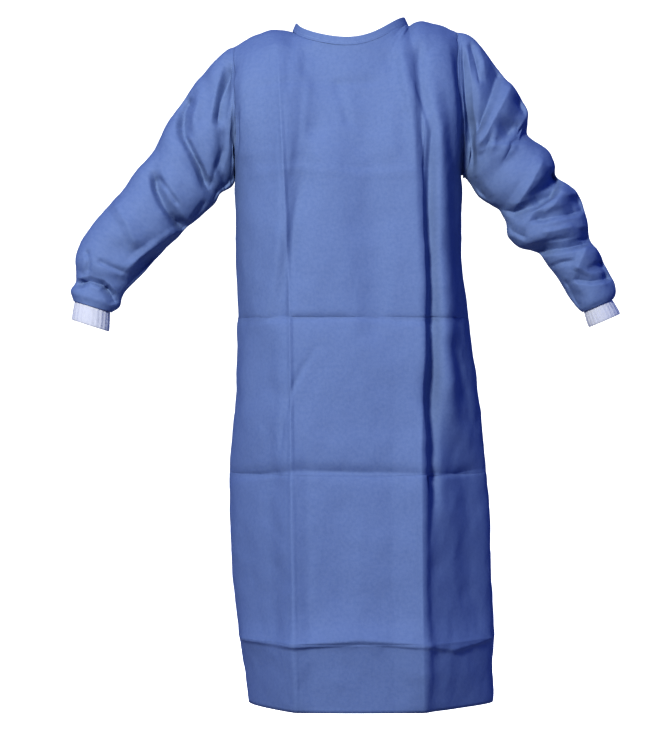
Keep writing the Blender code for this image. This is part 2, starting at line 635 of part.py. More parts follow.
def build_closures(panels, materials):
    """A tab at the neck, and two waist ties knotted beside the over flap, with their tails hanging."""
    over, under = panels["back_right"], panels["back_left"]
    cloth = materials["gown_cloth"]
    step = FLAP_LIFT + STRAP_GAP
    tab = lifted(over, [(p, TAB_DROP, TAB_GAP) for p in TAB_OVER])
    for place in TAB_UNDER:
        share = (TAB_UNDER[-1] - place) / (TAB_UNDER[-1] - OVER_FLAP_EDGE)
        tab += lifted(under, [(place, TAB_DROP, TAB_GAP + FLAP_LIFT * share)])
    strap("neck_tab", tab, TAB_WIDTH, materials["touch_tape"])

    point, normal = on_panel(under, KNOT_PLACE, WAIST_DROP)
    side = unit(np.cross(np.array([0.0, 0.0, 1.0]), normal))
    side = side if side[0] > 0 else -side
    up = np.cross(normal, side)
    up = up if up[2] > 0 else -up
    centre = point + normal * KNOT_LIFT
    reach = side * (KNOT_HALF_WIDTH + 0.0006)
    right = lifted(over, [(p, WAIST_DROP, STRAP_GAP) for p in (0.18, OVER_FLAP_EDGE)])
    right += lifted(under, [(NECK_AT, WAIST_DROP, step)])
    strap("waist_tie_right", right + [(centre - reach, normal)], TIE_WIDTH, cloth)
    left = lifted(under, [(0.66, WAIST_DROP, 0.0035)])
    left += lifted(under, [(p, WAIST_DROP, STRAP_GAP) for p in (0.77, 0.885, 0.94)])
    strap("waist_tie_left", [(centre + reach, normal)] + left, TIE_WIDTH, cloth)
    build_knot(centre, side, up, normal, cloth)
    for name, tail in TAILS.items():
        path = []
        for k in range(9):
            share = k / 8
            falls = KNOT_HALF_WIDTH + 0.0003 + tail.length * share
            bare, facing = on_panel(under, KNOT_PLACE, WAIST_DROP + falls)
            sway = tail.start + tail.spread * share
            lift = tail.rest + (tail.top - tail.rest) * (1 - share) ** 4 + 0.003 * math.sin(math.pi * share)
            path.append((bare + side * sway + facing * lift, facing))
        strap(name, path, TAIL_WIDTH, cloth)


def build_knot(centre, side, up, normal, material):
    """The knot as a soft block wrapped over both ties, fuller in the middle than at its ends."""
    rings = []
    for k in range(KNOT_ROUNDS):
        share = 2 * k / (KNOT_ROUNDS - 1) - 1
        size = 0.72 + 0.28 * math.sqrt(1 - share**2)
        ring = []
        for j in range(KNOT_SIDES):
            turn = 2 * math.pi * j / KNOT_SIDES
            high = KNOT_HALF_WIDTH * size * math.copysign(abs(math.cos(turn)) ** 0.8, math.cos(turn))
            deep = KNOT_HALF_DEPTH * size * math.copysign(abs(math.sin(turn)) ** 0.8, math.sin(turn))
            ring.append(centre + normal * deep + up * high + side * share * KNOT_HALF_WIDTH)
        rings.append(ring)
    swept("waist_knot", np.array(rings), [tuple(range(KNOT_SIDES))], material)


def main():
    for old in list(bpy.data.objects):
        bpy.data.objects.remove(old)
    materials = {name: make_material(name, *look) for name, look in MATERIALS.items()}
    places, points, normals = body_panels()
    sides = len(SIDE_PLACES)
    loops = {
        "right": armhole_loop(points, normals, 0, "back_right"),
        "left": armhole_loop(points, normals, -1, "back_left"),
    }
    seams = {
        "front": {"start": True, "end": True, "top": [slice(0, sides), slice(-sides, None)]},
        "back_right": {"start": True, "top": [slice(0, sides)]},
        "back_left": {"end": True, "top": [slice(-sides, None)]},
    }
    for name, sewn in seams.items():
        outer = pulled_in(points[name], sewn)
        wall_object(name, outer, outer - normals[name] * CLOTH, materials["gown_cloth"])
    build_sleeve_and_cuff("right", *loops["right"], RIGHT_SLEEVE, RIGHT_SLEEVE_FOLDS, materials)
    build_sleeve_and_cuff("left", *loops["left"], LEFT_SLEEVE, LEFT_SLEEVE_FOLDS, materials)
    build_binding(points, normals, places, materials)
    panels = {name: (places[name], points[name], normals[name]) for name in ("back_right", "back_left")}
    build_closures(panels, materials)


main()
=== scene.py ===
# %% [markdown]
# A disposable isolation gown
# This lesson dresses a plain model of a hospital gown with the look of its cloth.
# The gown hangs as worn, hollow, from two shoulders that aren't shown.
# The plain model gives each cut piece its place. Each panel of the gown starts from one of
# its walls, gets the finer creases that the cloth has, and becomes a thin shell again.
# Left and right are the wearer's. Every length is in metres where nothing else is said.

import math
from collections import namedtuple

import bmesh
import bpy
import numpy as np
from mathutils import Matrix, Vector, noise
from mathutils.bvhtree import BVHTree
from mathutils.kdtree import KDTree


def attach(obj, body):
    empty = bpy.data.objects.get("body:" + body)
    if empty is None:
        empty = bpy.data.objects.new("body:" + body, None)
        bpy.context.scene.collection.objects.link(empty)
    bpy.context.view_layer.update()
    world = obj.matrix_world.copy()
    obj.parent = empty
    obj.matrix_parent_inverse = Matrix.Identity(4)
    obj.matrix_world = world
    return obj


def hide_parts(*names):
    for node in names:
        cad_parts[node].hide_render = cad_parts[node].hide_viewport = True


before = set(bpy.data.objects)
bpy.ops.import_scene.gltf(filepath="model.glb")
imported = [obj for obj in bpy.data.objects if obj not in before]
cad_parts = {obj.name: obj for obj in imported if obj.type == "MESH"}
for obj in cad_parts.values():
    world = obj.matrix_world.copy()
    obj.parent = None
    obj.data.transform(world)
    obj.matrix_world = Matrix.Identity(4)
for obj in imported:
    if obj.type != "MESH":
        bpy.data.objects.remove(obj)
bpy.ops.object.select_all(action="DESELECT")
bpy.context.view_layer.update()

# %% [markdown]
# The camera
# The picture looks straight at the chest, from about four and a half metres.
# A long lens keeps the sleeves from spreading, as a studio camera would.

# %% Camera
VIEW_CENTRE = (-0.029, -0.602)
CAMERA_DISTANCE = 4.5
VIEW_HEIGHT = 1.2915

camera_data = bpy.data.cameras.new("camera")
camera_data.sensor_fit = "VERTICAL"
camera_data.sensor_height = 24
camera_data.lens = 24 * CAMERA_DISTANCE / VIEW_HEIGHT
camera = bpy.data.objects.new("camera", camera_data)
camera.location = (VIEW_CENTRE[0], -CAMERA_DISTANCE, VIEW_CENTRE[1])
camera.rotation_euler = (math.pi / 2, 0, 0)
bpy.context.scene.collection.objects.link(camera)
bpy.context.scene.camera = camera
print("lens in mm:", round(camera_data.lens, 1))

# %% [markdown]
# Studio light
# One large soft lamp stands above the camera and to its left, near enough that its light
# fades towards the hem. A second one stands straight behind the gown, where it lights the
# back and nothing that shows from the front. A dim cool fill keeps the sides from black.
# The camera sees a white backdrop, while the fill that lights the cloth stays low.

# %% Lights
FILL_COLOUR = (0.16, 0.28, 1.0)
FILL_STRENGTH = 0.48
BACKDROP_STRENGTH = 1.05
LAMP_COLOUR = (1.0, 0.97, 0.80)
KEY_PLACE = (-1.10, -3.32, 1.18)
KEY_AIM = (0.0, 0.0, -0.45)
KEY_SIZE = 0.6
KEY_POWER = 143.0
BACK_PLACE = (0.0, 3.6, 0.10)
BACK_AIM = (0.0, 0.0, -0.55)
BACK_SIZE = 1.6
BACK_POWER = 95.0


def soft_lamp(name, place, aim, size, power):
    data = bpy.data.lights.new(name, "AREA")
    data.shape = "DISK"
    data.size = size
    data.energy = power
    data.color = LAMP_COLOUR
    lamp = bpy.data.objects.new(name, data)
    lamp.location = place
    lamp.rotation_euler = (Vector(aim) - Vector(place)).to_track_quat("-Z", "Y").to_euler()
    bpy.context.scene.collection.objects.link(lamp)


soft_lamp("key_lamp", KEY_PLACE, KEY_AIM, KEY_SIZE, KEY_POWER)
soft_lamp("back_lamp", BACK_PLACE, BACK_AIM, BACK_SIZE, BACK_POWER)

world = bpy.data.worlds.new("studio")
bpy.context.scene.world = world
world.use_nodes = True
sky = world.node_tree
sky.nodes.clear()
fill = sky.nodes.new("ShaderNodeBackground")
fill.inputs["Color"].default_value = (*FILL_COLOUR, 1)
fill.inputs["Strength"].default_value = FILL_STRENGTH
backdrop = sky.nodes.new("ShaderNodeBackground")
backdrop.inputs["Color"].default_value = (1, 1, 1, 1)
backdrop.inputs["Strength"].default_value = BACKDROP_STRENGTH
seen = sky.nodes.new("ShaderNodeLightPath")
choose = sky.nodes.new("ShaderNodeMixShader")
sky_out = sky.nodes.new("ShaderNodeOutputWorld")
sky.links.new(seen.outputs["Is Camera Ray"], choose.inputs["Fac"])
sky.links.new(fill.outputs[0], choose.inputs[1])
sky.links.new(backdrop.outputs[0], choose.inputs[2])
sky.links.new(choose.outputs[0], sky_out.inputs["Surface"])
bpy.context.scene.view_settings.view_transform = "Standard"
bpy.context.scene.view_settings.look = "High Contrast"
print("lamps:", [o.name for o in bpy.data.objects if o.type == "LIGHT"])

# %% [markdown]
# Floor
# A pale plain floor lies where a wearer of this size would stand. It glows for the camera
# alone, so it runs into the white backdrop and still throws little light up at the cloth.

# %% Floor
FLOOR_HEIGHT = -1.42
FLOOR_RADIUS = 9.0
FLOOR_COLOUR = (0.3, 0.3, 0.32, 1)

floor_bm = bmesh.new()
bmesh.ops.create_circle(floor_bm, cap_ends=True, segments=64, radius=FLOOR_RADIUS)
bmesh.ops.translate(floor_bm, verts=floor_bm.verts, vec=(0, 0, FLOOR_HEIGHT))
floor_mesh = bpy.data.meshes.new("floor")
floor_bm.to_mesh(floor_mesh)
floor_bm.free()
floor = bpy.data.objects.new("floor", floor_mesh)
bpy.context.scene.collection.objects.link(floor)
floor_finish = bpy.data.materials.new("pale_floor")
floor_finish.use_nodes = True
paint = floor_finish.node_tree.nodes["Principled BSDF"]
paint.inputs["Base Color"].default_value = FLOOR_COLOUR
paint.inputs["Roughness"].default_value = 0.8
paint.inputs["Emission Color"].default_value = (1, 1, 1, 1)
straight = floor_finish.node_tree.nodes.new("ShaderNodeLightPath")
floor_finish.node_tree.links.new(straight.outputs["Is Camera Ray"], paint.inputs["Emission Strength"])
floor_mesh.materials.append(floor_finish)
print("floor at", FLOOR_HEIGHT)

# %% [markdown]
# One skin of a wall
# Each plain piece is a wall with two skins and a narrow rim between them.
# The cloth needs one skin that can be creased, and a new thickness after that.
# A copy is merged first, because the plain mesh is loose triangles. The rim is found by
# its short edges, and of the two skins left the one that faces outwards is kept.
# Pairs of triangles are then joined to quads, which round more evenly.

# %% Skins
MERGE_REACH = 1e-5
RIM_EDGE = 0.0021
PANEL_BEND = 50
PANEL_SKEW = 60


def merged_copy(node):
    bm = bmesh.new()
    bm.from_mesh(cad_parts[node].data)
    bmesh.ops.remove_doubles(bm, verts=bm.verts, dist=MERGE_REACH)
    return bm


def join_into_quads(bm, bend, skew):
    """Joins triangles that bend less than one angle and make a quad skewed less than the other."""
    bmesh.ops.join_triangles(
        bm,
        faces=bm.faces,
        angle_face_threshold=math.radians(bend),
        angle_shape_threshold=math.radians(skew),
    )


def islands(bm):
    left = set(bm.faces)
    while left:
        stack = [left.pop()]
        part = []
        while stack:
            face = stack.pop()
            part.append(face)
            near = {other for edge in face.edges for other in edge.link_faces} & left
            left -= near
            stack.extend(near)
        yield part


def facing_out(part):
    area = sum(face.calc_area() for face in part)
    centre = sum((face.calc_center_median() * face.calc_area() for face in part), Vector()) / area
    return sum(face.calc_area() * face.normal.dot(face.calc_center_median() - centre) for face in part)


def outer_skin(node):
    bm = merged_copy(node)
    rim = [face for face in bm.faces if min(edge.calc_length() for edge in face.edges) < RIM_EDGE]
    bmesh.ops.delete(bm, geom=rim, context="FACES")
    parts = sorted(islands(bm), key=facing_out)
    for part in parts[:-1]:
        bmesh.ops.delete(bm, geom=part, context="FACES")
    join_into_quads(bm, PANEL_BEND, PANEL_SKEW)
    return bm


print("a rim's edges are shorter than", RIM_EDGE)

# %% [markdown]
# Flat patterns
# The web of the cloth has to follow it, so each piece gets a map of itself laid flat.
# A panel is unwrapped as it is. A tube is rolled out by each point's angle round its
# middle line. Both maps are in metres, so one web fits every piece.

# %% Flat patterns
def new_object(name, bm):
    mesh = bpy.data.meshes.new(name)
    bm.to_mesh(mesh)
    bm.free()
    made = bpy.data.objects.new(name, mesh)
    bpy.context.scene.collection.objects.link(made)
    return made


def flatten_panel(made):
    made.data.uv_layers.new(name="flat")
    bpy.context.view_layer.objects.active = made
    made.select_set(True)
    bpy.ops.object.mode_set(mode="EDIT")
    bpy.ops.mesh.select_all(action="SELECT")
    bpy.ops.uv.unwrap(method="ANGLE_BASED", margin=0.0)
    bpy.ops.object.mode_set(mode="OBJECT")
    made.select_set(False)
    bm = bmesh.new()
    bm.from_mesh(made.data)
    layer = bm.loops.layers.uv.active
    flat_area = 0.0
    for face in bm.faces:
        corners = [loop[layer].uv for loop in face.loops]
        flat_area += abs(sum(a.cross(b) for a, b in zip(corners, corners[1:] + corners[:1]))) / 2
    grow = math.sqrt(sum(face.calc_area() for face in bm.faces) / flat_area)
    for face in bm.faces:
        for loop in face.loops:
            loop[layer].uv *= grow
    bm.to_mesh(made.data)
    bm.free()


def flatten_tube(made, top, end):
    axis = (Vector(end) - Vector(top)).normalized()
    side = axis.cross(Vector((0, 1, 0))).normalized()
    bm = bmesh.new()
    bm.from_mesh(made.data)
    layer = bm.loops.layers.uv.new("flat")
    area = sum(face.calc_area() for face in bm.faces)
    reach = [(vert.co - Vector(top)).dot(axis) for vert in bm.verts]
    radius = area / (max(reach) - min(reach)) / (2 * math.pi)
    for face in bm.faces:
        turns = []
        for loop in face.loops:
            out = loop.vert.co - Vector(top)
            turns.append(math.atan2(out.y, out.dot(side)))
        for loop, turn in zip(face.loops, turns):
            turn += 2 * math.pi * round((turns[0] - turn) / (2 * math.pi))
            loop[layer].uv = (turn * radius, (loop.vert.co - Vector(top)).dot(axis))
    bm.to_mesh(made.data)
    bm.free()


print("a piece is laid flat as a panel or as a tube")

# %% [markdown]
# Creases
# Thin nonwoven cloth keeps two kinds of line. It was folded flat in its packet, which
# leaves sharp straight creases, and it hangs from the body in softer folds.
# Each is a short path in the picture's plane, with the width of its left and its right
# flank and a depth, all in metres. Left and right are as one walks along the path, so one
# flank can be steep and the other long, as on cloth that was folded over.
# A depth above nought stands out as a ridge, and below it sinks in as a trough.
# A path fades out at its ends, and works only on the side of the cloth that it names.
# Where ridges cross, a limit keeps them from adding up to more than the cloth would stand.

# %% Crease shape
Crease = namedtuple("Crease", "path left right depth sharp side")
FRONT, BACK = -1, 1
FAR_AWAY = 1e9
SHARP_POWER = 1.25
END_RISE = 6
END_START = 0.12
WANDER_MIDDLE = 0.87
WANDER_REACH = 0.13
WANDER_TURNS = 11.0
WANDER_SHIFT = 40
SIDE_RISE = 2.6
SIDE_START = -0.1
RIDGE_LIMIT = 0.028


def path_distance(points, path):
    """The distance to a path, which flank a point is on, and how far along the path it is."""
    path = np.array(path, float)
    best = np.full(len(points), FAR_AWAY)
    flank = np.zeros(len(points))
    along = np.zeros(len(points))
    steps = np.linalg.norm(np.diff(path, axis=0), axis=1)
    run = 0.0
    for start, end, step in zip(path[:-1], path[1:], steps):
        way = (end - start) / step
        walked = np.clip((points - start) @ way, 0, step)
        off = points - start - walked[:, None] * way
        far = np.linalg.norm(off, axis=1)
        nearer = far < best
        best = np.where(nearer, far, best)
        flank = np.where(nearer, way[0] * off[:, 1] - way[1] * off[:, 0], flank)
        along = np.where(nearer, (run + walked) / steps.sum(), along)
        run += step
    return best, flank > 0, along


def eased(share):
    """Turns a share from nought to one into one that starts and ends gently."""
    return share * share * (3 - 2 * share)


def crease_height(points, normals, creases):
    height = np.zeros(len(points))
    for crease in creases:
        far, on_left, along = path_distance(points[:, [0, 2]], crease.path)
        near = np.clip(1 - far / np.where(on_left, crease.left, crease.right), 0, 1)
        shape = near**SHARP_POWER if crease.sharp else eased(near)
        ends = np.clip(np.minimum(along, 1 - along) * END_RISE + END_START, 0, 1)
        turned = along * WANDER_TURNS + crease.path[0][0] * WANDER_SHIFT
        wander = WANDER_MIDDLE + WANDER_REACH * np.sin(turned)
        side = np.clip(normals[:, 1] * crease.side * SIDE_RISE + SIDE_START, 0, 1)
        height += crease.depth * shape * ends * wander * side
    return np.where(height > 0, RIDGE_LIMIT * np.tanh(height / RIDGE_LIMIT), height)


print("a crease holds:", Crease._fields)

# %% [markdown]
# Moving the cloth
# Each point moves by the height of all the creases there, and by a weak random rumple.
# The move is mostly straight back or forth, so that a crease keeps its place in the
# picture. Near a raw edge the cloth moves less, which keeps the cut line clean.

# %% Moving the cloth
RUMPLES = ((0.11, 0.0030), (0.035, 0.0010))
RUMPLE_SHIFT = Vector((7.3, 3.1, 5.7))
RUMPLE_SOFTNESS = 0.9
RUMPLE_STEP = 2.1
RUMPLE_LAYERS = 3
TURN_STRAIGHT = 3
OWN_WAY = 0.3
STRAIGHT_WAY = 0.7
EDGE_KEEP = 0.008
EDGE_MOVE = 0.35


def rumple_height(points, size, depth):
    heights = []
    for point in points:
        place = Vector(point) / size + RUMPLE_SHIFT
        heights.append(noise.fractal(place, RUMPLE_SOFTNESS, RUMPLE_STEP, RUMPLE_LAYERS))
    return depth * np.array(heights)


def point_tree(verts):
    tree = KDTree(len(verts))
    for vert in verts:
        tree.insert(vert.co, vert.index)
    tree.balance()
    return tree


def press(made, creases):
    """Presses creases and rumples into a mesh and gives back the greatest height of a crease."""
    mesh = made.data
    points = np.array([v.co for v in mesh.vertices], float)
    normals = np.array([v.normal for v in mesh.vertices], float)
    straight = np.zeros_like(normals)
    straight[:, 1] = np.clip(normals[:, 1] * TURN_STRAIGHT, -1, 1)
    lines = crease_height(points, normals, creases)
    moves = lines[:, None] * (OWN_WAY * normals + STRAIGHT_WAY * straight)
    for size, depth in RUMPLES:
        moves += rumple_height(points, size, depth)[:, None] * normals
    bm = bmesh.new()
    bm.from_mesh(mesh)
    edges = point_tree([vert for vert in bm.verts if vert.is_boundary])
    for vert, move in zip(bm.verts, moves):
        hold = EDGE_MOVE + (1 - EDGE_MOVE) * min(edges.find(vert.co)[2] / EDGE_KEEP, 1)
        vert.co += Vector(move) * hold
    bm.to_mesh(mesh)
    bm.free()
    return float(np.abs(lines).max())


print("rumples, size and depth:", RUMPLES)

# %% [markdown]
# Smooth cloth The skin of a plain piece is a coarse net. A Subdivision modifier rounds
# it, and is made real before the creases go in, so that they have points to move.
# Rounding pulls the cloth in by a few millimetres at each bend. To keep the true size,
# the net is first pushed out by what two trial roundings took away.

# %% Smooth cloth
CLOTH_THICKNESS = 0.0008
TRIALS = 2


def rounded(made, levels):
    smooth = made.modifiers.new("rounding", "SUBSURF")
    smooth.levels = levels
    smooth.render_levels = levels
    smooth.boundary_smooth = "PRESERVE_CORNERS"
    graph = bpy.context.evaluated_depsgraph_get()
    fine = bpy.data.meshes.new_from_object(made.evaluated_get(graph))
    made.modifiers.clear()
    return fine


def refine(made, levels):
    net = made.data
    true = [vert.co.copy() for vert in net.vertices]
    for _ in range(TRIALS):
        trial = rounded(made, 1)
        for vert, aim, found in zip(net.vertices, true, trial.vertices):
            vert.co += aim - found.co
        bpy.data.meshes.remove(trial)
        net.update()
    fine = rounded(made, levels)
    made.data = fine
    fine.name = made.name
    bpy.data.meshes.remove(net)
    for face in fine.polygons:
        face.use_smooth = True


def give_thickness(made):
    wall = made.modifiers.new("cloth", "SOLIDIFY")
    wall.thickness = CLOTH_THICKNESS
    wall.offset = -1
    wall.use_rim = True


def stands_for(made, node, slot):
    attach(made, "root")
    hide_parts(node)


print("cloth thickness:", CLOTH_THICKNESS)

# %% [markdown]
# Bonded web
# The cloth is a spun web of fine fibres, pressed together at a grid of tiny points.
# Three things show: the points as a faint emboss, the fibres as short streaks, and the
# web's uneven weight as soft clouds. One node group makes them from the flat pattern.
# The scales of its textures count points, fibres or clouds to a metre.

# %% Bonded web group
POINTS_PER_METRE = 620
GRID_TURN = math.radians(45)
GRID_WANDER = 0.12
PRESSED_FROM = 0.16
PRESSED_TO = 0.34
FIBRES_PER_METRE = (1900, 260, 1)
CLOUDS_PER_METRE = 170
FIBRE_HEIGHT = 0.45


def add(tree, kind, **values):
    node = tree.nodes.new(kind)
    for key, value in values.items():
        setattr(node, key, value)
    return node


def bonded_web_group():
    group = bpy.data.node_groups.new("bonded_web", "ShaderNodeTree")
    face = group.interface
    face.new_socket("Pattern", in_out="INPUT", socket_type="NodeSocketVector")
    points = face.new_socket("Points Per Metre", in_out="INPUT", socket_type="NodeSocketFloat")
    points.default_value = POINTS_PER_METRE
    face.new_socket("Height", in_out="OUTPUT", socket_type="NodeSocketFloat")
    face.new_socket("Clouds", in_out="OUTPUT", socket_type="NodeSocketFloat")
    face.new_socket("Fibres", in_out="OUTPUT", socket_type="NodeSocketFloat")
    source = add(group, "NodeGroupInput")
    result = add(group, "NodeGroupOutput")
    turn = add(group, "ShaderNodeMapping")
    turn.inputs["Rotation"].default_value = (0, 0, GRID_TURN)
    group.links.new(source.outputs["Pattern"], turn.inputs["Vector"])
    dots = add(group, "ShaderNodeTexVoronoi", feature="F1", distance="CHEBYCHEV")
    dots.inputs["Randomness"].default_value = GRID_WANDER
    group.links.new(turn.outputs[0], dots.inputs["Vector"])
    group.links.new(source.outputs["Points Per Metre"], dots.inputs["Scale"])
    pressed = add(group, "ShaderNodeMapRange", interpolation_type="SMOOTHSTEP")
    pressed.inputs["From Min"].default_value = PRESSED_FROM
    pressed.inputs["From Max"].default_value = PRESSED_TO
    group.links.new(dots.outputs["Distance"], pressed.inputs["Value"])
    stretch = add(group, "ShaderNodeMapping")
    stretch.inputs["Scale"].default_value = FIBRES_PER_METRE
    group.links.new(source.outputs["Pattern"], stretch.inputs["Vector"])
    fibres = add(group, "ShaderNodeTexNoise")
    fibres.inputs["Scale"].default_value = 1.0
    fibres.inputs["Detail"].default_value = 4
    fibres.inputs["Roughness"].default_value = 0.62
    group.links.new(stretch.outputs[0], fibres.inputs["Vector"])
    clouds = add(group, "ShaderNodeTexNoise")
    clouds.inputs["Scale"].default_value = CLOUDS_PER_METRE
    clouds.inputs["Detail"].default_value = 5
    clouds.inputs["Roughness"].default_value = 0.6
    group.links.new(source.outputs["Pattern"], clouds.inputs["Vector"])
    blend = add(group, "ShaderNodeMath", operation="MULTIPLY_ADD")
    blend.inputs[1].default_value = FIBRE_HEIGHT
    group.links.new(fibres.outputs["Fac"], blend.inputs[0])
    group.links.new(pressed.outputs[0], blend.inputs[2])
    group.links.new(blend.outputs[0], result.inputs["Height"])
    group.links.new(clouds.outputs["Fac"], result.inputs["Clouds"])
    group.links.new(fibres.outputs["Fac"], result.inputs["Fibres"])
    return group


bonded_web = bonded_web_group()
print("group inputs:", [s.name for s in bonded_web.interface.items_tree])

# %% [markdown]
# Stitch row
# A row of short stitches runs beside each seam. Each piece carries its distance to the
# nearest seam, so the row is a thin band at one distance, cut into dashes.

# %% Stitch row group
STITCH_OFFSET = 0.0045
STITCH_PITCH = 0.0036
THREAD_INNER = 0.0004
THREAD_OUTER = 0.0009
STITCH_SLANT = (0.62, 0.31, 1.0)
STITCH_FADE = (-0.75, -0.25)


def stitch_row_group():
    group = bpy.data.node_groups.new("stitch_row", "ShaderNodeTree")
    face = group.interface
    face.new_socket("Seam Distance", in_out="INPUT", socket_type="NodeSocketFloat")
    face.new_socket("Place", in_out="INPUT", socket_type="NodeSocketVector")
    face.new_socket("Thread", in_out="OUTPUT", socket_type="NodeSocketFloat")
    source = add(group, "NodeGroupInput")
    result = add(group, "NodeGroupOutput")
    off = add(group, "ShaderNodeMath", operation="SUBTRACT")
    off.inputs[1].default_value = STITCH_OFFSET
    group.links.new(source.outputs["Seam Distance"], off.inputs[0])
    away = add(group, "ShaderNodeMath", operation="ABSOLUTE")
    group.links.new(off.outputs[0], away.inputs[0])
    row = add(group, "ShaderNodeMapRange", interpolation_type="SMOOTHSTEP")
    row.inputs["From Min"].default_value = THREAD_OUTER
    row.inputs["From Max"].default_value = THREAD_INNER
    group.links.new(away.outputs[0], row.inputs["Value"])
    along = add(group, "ShaderNodeVectorMath", operation="DOT_PRODUCT")
    along.inputs[1].default_value = STITCH_SLANT
    group.links.new(source.outputs["Place"], along.inputs[0])
    turns = add(group, "ShaderNodeMath", operation="MULTIPLY")
    turns.inputs[1].default_value = 2 * math.pi / STITCH_PITCH
    group.links.new(along.outputs["Value"], turns.inputs[0])
    beat = add(group, "ShaderNodeMath", operation="SINE")
    group.links.new(turns.outputs[0], beat.inputs[0])
    dash = add(group, "ShaderNodeMapRange", interpolation_type="SMOOTHSTEP")
    dash.inputs["From Min"].default_value = STITCH_FADE[0]
    dash.inputs["From Max"].default_value = STITCH_FADE[1]
    group.links.new(beat.outputs[0], dash.inputs["Value"])
    thread = add(group, "ShaderNodeMath", operation="MULTIPLY")
    group.links.new(row.outputs[0], thread.inputs[0])
    group.links.new(dash.outputs[0], thread.inputs[1])
    group.links.new(thread.outputs[0], result.inputs["Thread"])
    return group


stitch_row = stitch_row_group()
print("group outputs:", [s.name for s in stitch_row.interface.items_tree if s.in_out == "OUTPUT"])

# %% [markdown]
# Blue cloth
# The colour moves a little with the clouds and the fibres, and the stitching thread is a
# shade lighter. The surface is matt, with a soft sheen at shallow angles from loose
# fibre ends. The touch tape at the neck is made the same way, so one function does both.

# %% Blue cloth
CLOTH_THIN = (0.148, 0.205, 0.362, 1)
CLOTH_THICK = (0.122, 0.179, 0.332, 1)
THREAD = (0.17, 0.235, 0.40, 1)
SHEEN_TINT = (0.45, 0.60, 1.0, 1)
CLOUD_RANGE = (0.3, 0.7)
STREAK_SHARE = 0.35
SMOOTHER = -0.06
ROUGHER = 0.08
EMBOSS_DEPTH = 0.0003
THREAD_HEIGHT = 2.0


def web_cloth(name, thin, thick, roughness, emboss, sheen):
    finish = bpy.data.materials.new(name)
    finish.use_nodes = True
    tree = finish.node_tree
    surface = tree.nodes["Principled BSDF"]
    flat = add(tree, "ShaderNodeUVMap", uv_map="flat")
    web = add(tree, "ShaderNodeGroup", node_tree=bonded_web)
    tree.links.new(flat.outputs[0], web.inputs["Pattern"])
    spread = add(tree, "ShaderNodeMapRange")
    spread.inputs["From Min"].default_value = CLOUD_RANGE[0]
    spread.inputs["From Max"].default_value = CLOUD_RANGE[1]
    tree.links.new(web.outputs["Clouds"], spread.inputs["Value"])
    streak = add(tree, "ShaderNodeMath", operation="MULTIPLY_ADD")
    streak.inputs[1].default_value = STREAK_SHARE
    tree.links.new(web.outputs["Fibres"], streak.inputs[0])
    tree.links.new(spread.outputs[0], streak.inputs[2])
    colour = add(tree, "ShaderNodeMix", data_type="RGBA")
    colour.inputs["A"].default_value = thick
    colour.inputs["B"].default_value = thin
    tree.links.new(streak.outputs[0], colour.inputs["Factor"])
    seam = add(tree, "ShaderNodeAttribute", attribute_name="seam")
    place = add(tree, "ShaderNodeTexCoord")
    stitches = add(tree, "ShaderNodeGroup", node_tree=stitch_row)
    tree.links.new(seam.outputs["Fac"], stitches.inputs["Seam Distance"])
    tree.links.new(place.outputs["Object"], stitches.inputs["Place"])
    sewn = add(tree, "ShaderNodeMix", data_type="RGBA")
    sewn.inputs["B"].default_value = THREAD
    tree.links.new(stitches.outputs[0], sewn.inputs["Factor"])
    tree.links.new(colour.outputs["Result"], sewn.inputs["A"])
    tree.links.new(sewn.outputs["Result"], surface.inputs["Base Color"])
    rough = add(tree, "ShaderNodeMapRange")
    rough.inputs["To Min"].default_value = roughness + SMOOTHER
    rough.inputs["To Max"].default_value = roughness + ROUGHER
    tree.links.new(web.outputs["Height"], rough.inputs["Value"])
    tree.links.new(rough.outputs[0], surface.inputs["Roughness"])
    bump = add(tree, "ShaderNodeBump")
    bump.inputs["Strength"].default_value = emboss
    bump.inputs["Distance"].default_value = EMBOSS_DEPTH
    raised = add(tree, "ShaderNodeMath", operation="MULTIPLY_ADD")
    raised.inputs[1].default_value = THREAD_HEIGHT
    tree.links.new(stitches.outputs[0], raised.inputs[0])
    tree.links.new(web.outputs["Height"], raised.inputs[2])
    tree.links.new(raised.outputs[0], bump.inputs["Height"])
    tree.links.new(bump.outputs[0], surface.inputs["Normal"])
    surface.inputs["Sheen Weight"].default_value = sheen
    surface.inputs["Sheen Roughness"].default_value = 0.55
    surface.inputs["Sheen Tint"].default_value = SHEEN_TINT
    surface.inputs["Specular IOR Level"].default_value = 0.2
    return finish


blue_cloth = web_cloth("blue_cloth", CLOTH_THIN, CLOTH_THICK, roughness=0.70, emboss=0.5, sheen=0.03)
print("finish:", blue_cloth.name)

# %% [markdown]
# Sewing the panels together
# The front, the two back panels and the sleeves meet at seams. If each were rounded on
# its own, small steps would open there. So the skins are laid out flat one by one, then
# welded along their seams, rounded as one cloth, creased, and cut apart again.
# Each face keeps the number of its panel, which is how they are told apart later.
# A sleeve is laid flat round its middle line, given by two points.

# %% Sewing
PANELS = ("front", "back_left", "back_right", "sleeve_right", "sleeve_left")
SEAM_REACH = 0.0024
CLOTH_LEVELS = 3
SLEEVE_LINES = {
    "sleeve_right": ((-0.20, 0.0, -0.16), (-0.45, -0.03, -0.49)),
    "sleeve_left": ((0.20, 0.0, -0.14), (0.43, -0.03, -0.48)),
}


def numbered_skin(number, node):
    piece = new_object(node + "_skin", outer_skin(node))
    if node in SLEEVE_LINES:
        flatten_tube(piece, *SLEEVE_LINES[node])
    else:
        flatten_panel(piece)
    mark = piece.data.attributes.new("panel", "INT", "FACE")
    mark.data.foreach_set("value", [number] * len(piece.data.polygons))
    return piece


